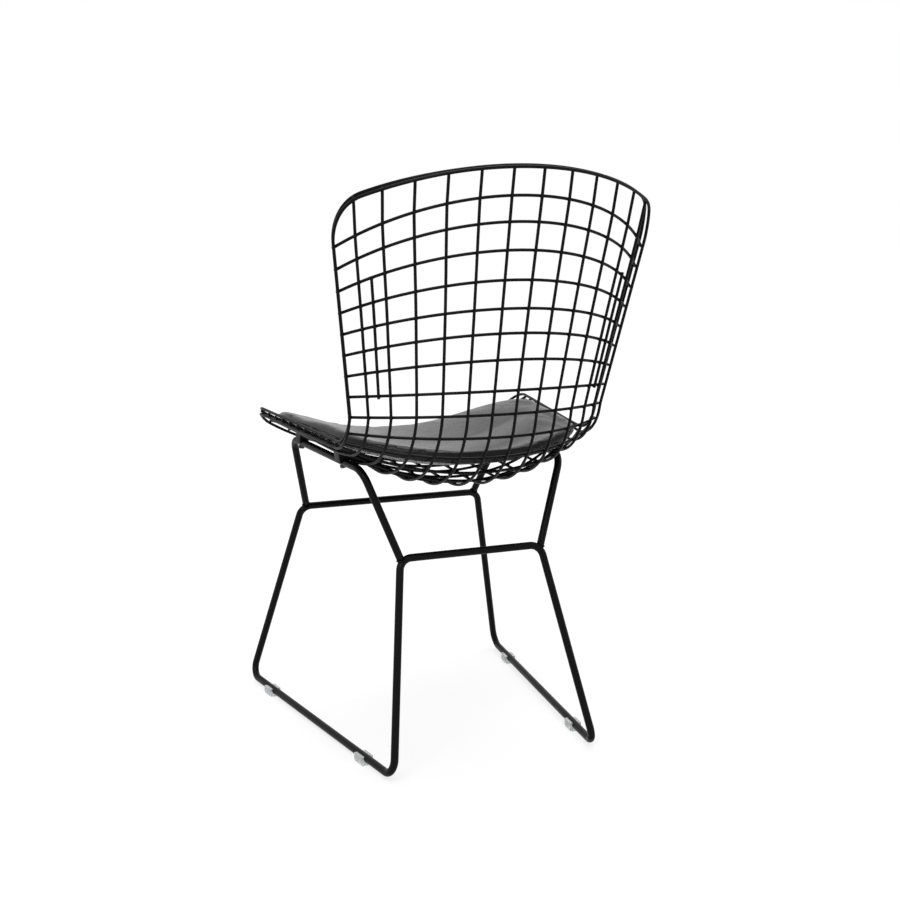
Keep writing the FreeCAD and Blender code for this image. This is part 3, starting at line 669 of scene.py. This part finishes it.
class CHAIR_OT_mesh_welds(bpy.types.Operator):
    """Small nuggets that resistance welding leaves where two wires cross"""
    bl_idname = "chair.mesh_welds"
    bl_label = "Mesh welds"

    def execute(self, context):
        s = context.scene.chair_shell
        columns = [column_share(column) for column in range(1, COLUMNS + 1)]
        across, row = np.meshgrid(columns, np.arange(1, ROWS))
        extra = short_share()
        short_rows = np.arange(SHORT_WIRE_ROWS[0], SHORT_WIRE_ROWS[1] + 1)
        across = np.concatenate([across.ravel(), np.repeat([extra, -extra], len(short_rows))])
        row = np.concatenate([row.ravel(), short_rows, short_rows])
        middle = shell_offset(across, row, -s.layer / 2)
        out = shell_normal(across, row)
        sideways = unit(shell_sideways(across, row))
        axes = np.stack([sideways, np.cross(out, sideways), out], 1)
        # wide in the wires' plane and low along the normal
        ball, faces = squashed_ball(s.weld_wide, s.weld_tall)
        nuggets = middle[:, None] + np.einsum("pk,nkc->npc", ball, axes)
        parts = merged([(nugget, faces) for nugget in nuggets])
        new_piece("mesh_welds", parts, satin_powder_coat())
        return {"FINISHED"}


def bend_arc(before, corner, after, bend, angle=None):
    """Points of a rod's middle line round one corner: a circular arc tangent to both runs.

    The angle runs onwards from the bend's middle; without one the whole bend is returned.
    """
    back = unit(before - corner)
    forth = unit(after - corner)
    half_angle = math.acos(float(np.dot(back, forth))) / 2
    centre = corner + unit(back + forth) * bend / math.sin(half_angle)
    middle = unit(corner - centre) * bend
    sideways = unit(forth - back) * bend
    if angle is None:
        angle = (math.pi / 2 - half_angle) * np.linspace(-1, 1, 15)[:, None]
    return centre + middle * np.cos(angle) + sideways * np.sin(angle)


def bent_line(corners, bend, closed):
    """A rod's middle line through corners, with an arc at each inner one."""
    count = len(corners)
    line = []
    for number, corner in enumerate(corners):
        if closed or 0 < number < count - 1:
            line.append(bend_arc(corners[number - 1], corner, corners[(number + 1) % count], bend))
        else:
            line.append(corner[None])
    dense = []
    for number, piece in enumerate(line):
        dense.append(piece)
        following = line[(number + 1) % count]
        if closed or number < count - 1:
            share_along = np.linspace(0, 1, 10)[1:-1, None]
            dense.append(piece[-1] + (following[0] - piece[-1]) * share_along)
    return np.vstack(dense)


def base_corners(side):
    """The base's named corners on one side."""
    b = bpy.context.scene.chair_base
    flip = np.array([side, 1, 1])
    names = [kind + place for kind in ("foot_", "knee_", "bar_") for place in PLACES]
    return {name: np.array(getattr(b, name)) * flip for name in names}


def weld_bead(touch, along, up, rod, bead):
    """A rippled weld round a bracket's foot, where one rod stands on the middle of another.

    At angle a from the lower rod's direction the joint of two round rods lies
    sqrt(r^2 - (r sin a)^2) above the lower rod's middle; the bead lies a little outside it. The
    bead swells and shrinks with the scales of the weld pool.
    """
    outside = rod + 0.3 * bead
    above = rod + 0.5 * bead
    inside = 0.98 * rod
    scales = 18
    swell = 0.12
    first = unit(along - up * np.dot(along, up))
    second = np.cross(up, first)
    angle = full_turn(96)[:, None]
    height = np.sqrt(above ** 2 - (inside * np.sin(angle)) ** 2)
    path = touch + (first * np.cos(angle) + second * np.sin(angle)) * outside + up * height
    ripple = bead * (1 + swell * np.cos(angle[:, 0] * scales))
    return tube_parts(path, up, ripple, WIRE_SIDES, closed=True)


class CHAIR_OT_base(bpy.types.Operator):
    """Sled base, brackets and the weld beads at the brackets' feet"""
    bl_idname = "chair.base"
    bl_label = "Base"

    def execute(self, context):
        b = context.scene.chair_base
        left = base_corners(1)
        right = base_corners(-1)
        order = ("knee_rear", "foot_rear", "foot_front", "knee_front")
        corners = [left[n] for n in order] + [right[n] for n in reversed(order)]
        line = bent_line(corners, b.corner, True)
        parts = tube_parts(line, ROD_UPWARD, b.rod / 2, ROD_SIDES, closed=True)
        piece = new_piece("sled_rod", parts, satin_powder_coat())
        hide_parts("sled_base")
        # a foot's middle and two places close by, which give the leg's direction there
        nearby = np.array([[-0.05], [0.0], [0.05]])
        beads = []
        for name, here, there in zip(SIDES, (left, right), (right, left)):
            feet = []
            for place, shift in zip(PLACES, (b.shift_rear, b.shift_front)):
                arc = bend_arc(there["knee_" + place], here["knee_" + place],
                               here["foot_" + place], b.corner, shift / b.corner + nearby)
                up = unit(here["bar_" + place] - arc[1])
                feet.append(arc[1] + up * b.setback)
                beads.append(weld_bead(arc[1], arc[2] - arc[0], up, b.rod / 2, b.bead))
            corners = [feet[0], here["bar_rear"], here["bar_front"], feet[1]]
            line = bent_line(corners, b.bend, False)
            parts = tube_parts(line, ROD_UPWARD, b.rod / 2, ROD_SIDES)
            piece = new_piece("bracket_rod_" + name, parts, satin_powder_coat())
            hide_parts("seat_bracket_" + name)
        new_piece("bracket_welds", merged(beads), satin_powder_coat())
        return {"FINISHED"}


def softened(name, source, width, material):
    """A CAD node's shape with its doubles merged and its edges rounded."""
    same_place = 0.02 * MM
    flat = math.radians(1)
    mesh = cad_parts[source].data.copy()
    mesh.materials.clear()
    shape = bmesh.new()
    shape.from_mesh(mesh)
    bmesh.ops.remove_doubles(shape, verts=shape.verts, dist=same_place)
    bmesh.ops.dissolve_limit(shape, angle_limit=flat, verts=shape.verts, edges=shape.edges)
    shape.to_mesh(mesh)
    shape.free()
    piece = place_piece(name, mesh, material)
    bevel = piece.modifiers.new("rounded edges", "BEVEL")
    bevel.width = width
    bevel.segments = 3
    bevel.limit_method = "ANGLE"
    bevel.angle_limit = math.radians(35)
    bevel.harden_normals = True
    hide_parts(source)


class CHAIR_OT_fittings(bpy.types.Operator):
    """Saddle clips, their bolts and the clear glides"""
    bl_idname = "chair.fittings"
    bl_label = "Fittings"

    def execute(self, context):
        for side in SIDES:
            for place in PLACES:
                tail = "%s_%s" % (side, place)
                softened("grip_" + tail, "saddle_clip_" + tail, CLIP_EDGE, moulded_nylon())
                softened("clear_glide_" + tail, "glide_" + tail, GLIDE_EDGE,
                         clear_polypropylene())
        softened("hex_bolts", "clip_bolts", BOLT_EDGE, black_oxide_steel())
        return {"FINISHED"}


def pad_middle():
    """Row of the pad's middle."""
    p = bpy.context.scene.chair_pad
    return (p.rear_row + p.front_row) / 2


def pad_outline(angle):
    """Place (across, rows from the middle) on the pad's edge at each angle round its middle.

    A squared oval: 1 / (|cos|^n + |sin|^n)^(1/n), squarer at the rear than at the front.
    """
    p = bpy.context.scene.chair_pad
    power = np.where(np.sin(angle) > 0, p.front_square, p.rear_square)
    reach = (np.abs(np.cos(angle)) ** power + np.abs(np.sin(angle)) ** power) ** (-1 / power)
    half = (p.front_row - p.rear_row) / 2
    return p.half_width * reach * np.cos(angle), half * reach * np.sin(angle)


def half_wave(row, span, power=1.0):
    """Half a sine wave between two rows, and nothing outside them."""
    first, last = span
    return np.sin(np.pi * np.clip((row - first) / (last - first), 0, 1) ** power)


def pad_low(across, row):
    """Heights of the pad's underside over the shell.

    The lift over the hollow falls off to the sides, where the pad rests on the shell, as 1 - u^2.
    """
    p = bpy.context.scene.chair_pad
    wave = half_wave(row, HOLLOW_ROWS, p.hollow_power)
    return p.lift + p.hollow * wave * (1 - np.clip(across / p.half_width, -1, 1) ** 2)


def pad_high(across, row):
    """Heights of the pad's top over the shell, before its crown.

    With u the place across and v the place towards the front, from 0 to 1, the top falls by
    drop * (u v)^3 at the front corners and by fall * u^6 at the sides, and rises by rise * v^8
    along the front edge.
    """
    p = bpy.context.scene.chair_pad
    u = np.abs(across) / p.half_width
    v = np.clip((row - pad_middle()) / (p.front_row - pad_middle()), 0, 1)
    falls = p.corner_drop * (u * v) ** 3 + p.side_fall * u ** 6 - p.front_rise * v ** 8
    return p.lift + p.thick + p.rise * half_wave(row, RISE_ROWS) - falls


def pad_places(scale, level, columns):
    """Places (across, row) and heights over the shell of points round the pad.

    They lie at the outline's place scaled by the scale, and at a level from 0 at the underside
    to 1 at the top. With w the way from the middle to the rear edge, from 0 to 1, the rows are
    drawn inwards by the share tuck * w^4 * (1 - level), so that the rear side stands upright.
    """
    p = bpy.context.scene.chair_pad
    across, along = pad_outline(full_turn(columns))
    rearward = np.clip(-along / (p.front_row - pad_middle()), 0, 1) ** 4
    row = pad_middle() + scale * along * (1 - p.tuck * rearward * (1 - level))
    low = pad_low(scale * across, row)
    high = pad_high(scale * across, row)
    return scale * across, row, low + (high - low) * level


def pad_parts(columns=160):
    """The pad before it is filled: rings from the underside's middle over the edge to the top's.

    The side turns from the underside over half a circle to the top, and the crown falls off as
    a power of a ring's scale.
    """
    p = bpy.context.scene.chair_pad
    innermost = 0.04
    under = np.linspace(innermost, p.low_inset, 18)
    side_turn = np.linspace(-np.pi / 2, np.pi / 2, 11)[1:-1]
    inset = np.where(side_turn < 0, p.low_inset, p.high_inset)
    side_scale = inset + (1 - inset) * np.cos(side_turn)
    over = np.linspace(p.high_inset, innermost, 18)
    scale = np.concatenate([under, side_scale, over])[:, None]
    level = np.concatenate([0 * under, 0.5 + 0.5 * np.sin(side_turn), 0 * over + 1])[:, None]
    crown = np.concatenate([0 * under, 0 * side_turn, p.crown * (1 - over ** p.crown_power)])
    across, row, height = pad_places(scale, level, columns)
    points = shell_offset(across, row, height + crown[:, None])
    middle = pad_middle()
    heights = [pad_low(0.0, middle), pad_high(0.0, middle) + p.crown]
    poles = shell_offset([0.0, 0.0], [middle, middle], heights)
    faces = [face[::-1] for face in skin_faces(len(scale), columns)]
    return np.vstack([points.reshape(-1, 3), poles]), faces


def seam_line(level, scale):
    """A line round the pad's side, and the shell's normals along it."""
    across, row, height = pad_places(scale, level, 240)
    return shell_offset(across, row, height), shell_normal(across, row)


def vertex_values(mesh, name):
    """A vector for each vertex of a mesh, such as its place or its normal."""
    values = np.empty(len(mesh.vertices) * 3)
    mesh.vertices.foreach_get(name, values)
    return values.reshape(-1, 3)


def held_points(places, normals):
    """Numbers of the points that the filling leaves alone: near a seam, or facing the shell."""
    p = bpy.context.scene.chair_pad
    seams = np.vstack([seam_line(0.0, p.low_inset)[0], seam_line(p.welt_level, 1.0)[0],
                       seam_line(1.0, p.high_inset)[0]])
    seam_reach = 0.6 * p.voxel
    facing_down = -0.35
    batch = 2000
    nearest = np.empty(len(places))
    for start in range(0, len(places), batch):
        gap = places[start:start + batch, None] - seams[None]
        nearest[start:start + batch] = np.sqrt((gap ** 2).sum(-1)).min(1)
    return np.flatnonzero((normals[:, 2] < facing_down) | (nearest < seam_reach)).tolist()


def fill_pad(pad):
    """Blow the pad up a little as cloth, with its seams and its underside held."""
    p = bpy.context.scene.chair_pad
    scene = bpy.context.scene
    remesh = pad.modifiers.new("remesh", "REMESH")
    remesh.mode = "VOXEL"
    remesh.voxel_size = p.voxel
    bpy.context.view_layer.objects.active = pad
    bpy.ops.object.modifier_apply(modifier=remesh.name)
    mesh = pad.data
    before = vertex_values(mesh, "co")
    group = pad.vertex_groups.new(name="held")
    group.add(held_points(before, vertex_values(mesh, "normal")), 1.0, "REPLACE")
    cloth = pad.modifiers.new("filling", "CLOTH")
    cloth.settings.use_pressure = True
    cloth.settings.uniform_pressure_force = p.pressure
    cloth.settings.effector_weights.gravity = 0
    cloth.settings.vertex_group_mass = "held"
    cloth.settings.quality = 6
    cloth.point_cache.frame_start = 1
    cloth.point_cache.frame_end = p.frames
    for step in range(1, p.frames + 1):
        scene.frame_set(step)
    bpy.ops.object.modifier_apply(modifier=cloth.name)
    scene.frame_set(1)
    # each point moves by cap * tanh(distance / cap), so that none moves further than the cap
    moved = vertex_values(mesh, "co") - before
    tiny = 1e-9
    far = np.maximum(np.linalg.norm(moved, axis=1, keepdims=True), tiny)
    moved = moved * p.cap * np.tanh(far / p.cap) / far
    mesh.vertices.foreach_set("co", (before + moved).ravel())
    mesh.update()
    pad.vertex_groups.clear()


class CHAIR_OT_seat_pad(bpy.types.Operator):
    """Leather seat pad, filled as cloth, with its sewn edge"""
    bl_idname = "chair.seat_pad"
    bl_label = "Seat pad"

    def execute(self, context):
        p = context.scene.chair_pad
        pad = new_piece("leather_pad", pad_parts(), grained_leather())
        fill_pad(pad)
        smooth_shaded(pad.data)
        smooth = pad.modifiers.new("smooth skin", "SUBSURF")
        smooth.levels = 1
        smooth.render_levels = 1
        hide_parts("seat_pad")
        path, upward = seam_line(p.welt_level, 1.0)
        parts = tube_parts(path, upward, p.welt, WELT_SIDES, closed=True)
        new_piece("pad_welt", parts, grained_leather())
        return {"FINISHED"}


def split_rays(tree, output, lighting, looking):
    """One shader for the rays that light the chair, another for camera, mirror and glass rays."""
    ray = node(tree, "ShaderNodeLightPath")
    seen = node(tree, "ShaderNodeMath", {"operation": "MAXIMUM"},
                {0: (ray, "Is Camera Ray"), 1: (ray, "Is Glossy Ray")})
    seen = node(tree, "ShaderNodeMath", {"operation": "MAXIMUM"},
                {0: (seen, 0), 1: (ray, "Is Transmission Ray")})
    mix = node(tree, "ShaderNodeMixShader", None,
               {0: (seen, 0), 1: (lighting, 0), 2: (looking, 0)})
    tree.links.new(mix.outputs[0], output.inputs[0])


def dimmed(colour, factor):
    """A colour with its red, green and blue scaled."""
    return (*(channel * factor for channel in colour[:3]), 1.0)


def stage_material(name, colour):
    """Pale paper sweep: white to the camera and to reflections, with the object's shadow kept."""
    material = bpy.data.materials.new(name)
    tree, output = fresh_tree(material, "ShaderNodeOutputMaterial")
    # the paper takes the shadow, and glows up to plain white away from the chair's middle
    paper = node(tree, "ShaderNodeBsdfDiffuse", {"Color": dimmed(colour, 0.3)})
    place = node(tree, "ShaderNodeTexCoord")
    far = node(tree, "ShaderNodeVectorMath", {"operation": "LENGTH"}, {0: (place, "Object")})
    rate = node(tree, "ShaderNodeMapRange",
                {"interpolation_type": "SMOOTHSTEP", "From Min": 0.7, "From Max": 2.6,
                 "To Min": 0.76, "To Max": 0.87}, {"Value": (far, "Value")})
    glow = node(tree, "ShaderNodeEmission", {"Color": colour}, {"Strength": (rate, "Result")})
    both = node(tree, "ShaderNodeAddShader", None, {0: (paper, 0), 1: (glow, 0)})
    # what the chair itself gets back from the paper
    plain = node(tree, "ShaderNodeBsdfDiffuse", {"Color": dimmed(colour, 0.8)})
    split_rays(tree, output, plain, both)
    return material


def studio_world():
    """White where the camera or a reflection looks at it, and half as bright as a light."""
    world = bpy.data.worlds.new("studio")
    tree, output = fresh_tree(world, "ShaderNodeOutputWorld")
    dim = node(tree, "ShaderNodeBackground", {"Color": (1, 1, 1, 1), "Strength": 0.5})
    white = node(tree, "ShaderNodeBackground", {"Color": (1, 1, 1, 1), "Strength": 1.0})
    split_rays(tree, output, dim, white)
    return world


class CHAIR_OT_stage(bpy.types.Operator):
    """Pale floor, soft studio light and the camera"""
    bl_idname = "chair.stage"
    bl_label = "Stage"

    def execute(self, context):
        scene = context.scene
        mesh = bpy.data.meshes.new("floor")
        half = 30.0
        mesh.from_pydata([(-half, -half, 0), (half, -half, 0), (half, half, 0), (-half, half, 0)],
                         [], [(0, 1, 2, 3)])
        floor = bpy.data.objects.new("floor", mesh)
        scene.collection.objects.link(floor)
        mesh.materials.append(stage_material("paper_sweep", scene.chair_finish.floor))
        scene.world = studio_world()
        for name, place, size, power in LAMPS:
            lamp = bpy.data.lights.new(name, "AREA")
            lamp.size = size
            lamp.energy = power
            lamp_object = bpy.data.objects.new(name, lamp)
            lamp_object.location = place
            aim = Vector((0, 0, 0.4)) - Vector(place)
            lamp_object.rotation_euler = aim.to_track_quat("-Z", "Y").to_euler()
            scene.collection.objects.link(lamp_object)
        camera_data = bpy.data.cameras.new("camera")
        camera_data.lens = 53.302
        camera_data.sensor_width = 36.0
        camera = bpy.data.objects.new("camera", camera_data)
        azimuth = math.radians(157.126)
        elevation = math.radians(9.599)
        back = Vector((math.sin(azimuth) * math.cos(elevation),
                       -math.cos(azimuth) * math.cos(elevation), math.sin(elevation)))
        camera.location = (0.707, 1.703, 0.709)
        camera.rotation_mode = "QUATERNION"
        camera.rotation_quaternion = (-back).to_track_quat("-Z", "Y")
        scene.collection.objects.link(camera)
        scene.camera = camera
        scene.view_settings.view_transform = "Standard"
        return {"FINISHED"}


class CHAIR_PT_panel(bpy.types.Panel):
    """Buttons for the chair's pieces"""
    bl_idname = "CHAIR_PT_panel"
    bl_label = "Wire mesh chair"
    bl_space_type = "VIEW_3D"
    bl_region_type = "UI"
    bl_category = "Chair"

    def draw(self, context):
        for operator in OPERATORS:
            self.layout.operator(operator.bl_idname)


GROUPS = {"chair_shell": ShellSizes, "chair_base": BaseSizes, "chair_pad": PadSizes,
          "chair_finish": Finishes}
OPERATORS = (CHAIR_OT_cross_wires, CHAIR_OT_long_wires, CHAIR_OT_rims, CHAIR_OT_mesh_welds,
             CHAIR_OT_base, CHAIR_OT_fittings, CHAIR_OT_seat_pad, CHAIR_OT_stage)


def register():
    """Add the classes and the scene's own sizes."""
    for some_class in (*GROUPS.values(), *OPERATORS, CHAIR_PT_panel):
        bpy.utils.register_class(some_class)
    for name, group in GROUPS.items():
        setattr(bpy.types.Scene, name, PointerProperty(type=group))


def unregister():
    """Take them away again."""
    for name in GROUPS:
        delattr(bpy.types.Scene, name)
    for some_class in (CHAIR_PT_panel, *reversed(OPERATORS), *reversed(GROUPS.values())):
        bpy.utils.unregister_class(some_class)


def main():
    """Build every piece and the stage."""
    register()
    for operator in OPERATORS:
        family, name = operator.bl_idname.split(".")
        getattr(getattr(bpy.ops, family), name)()


if __name__ == "__main__":
    main()
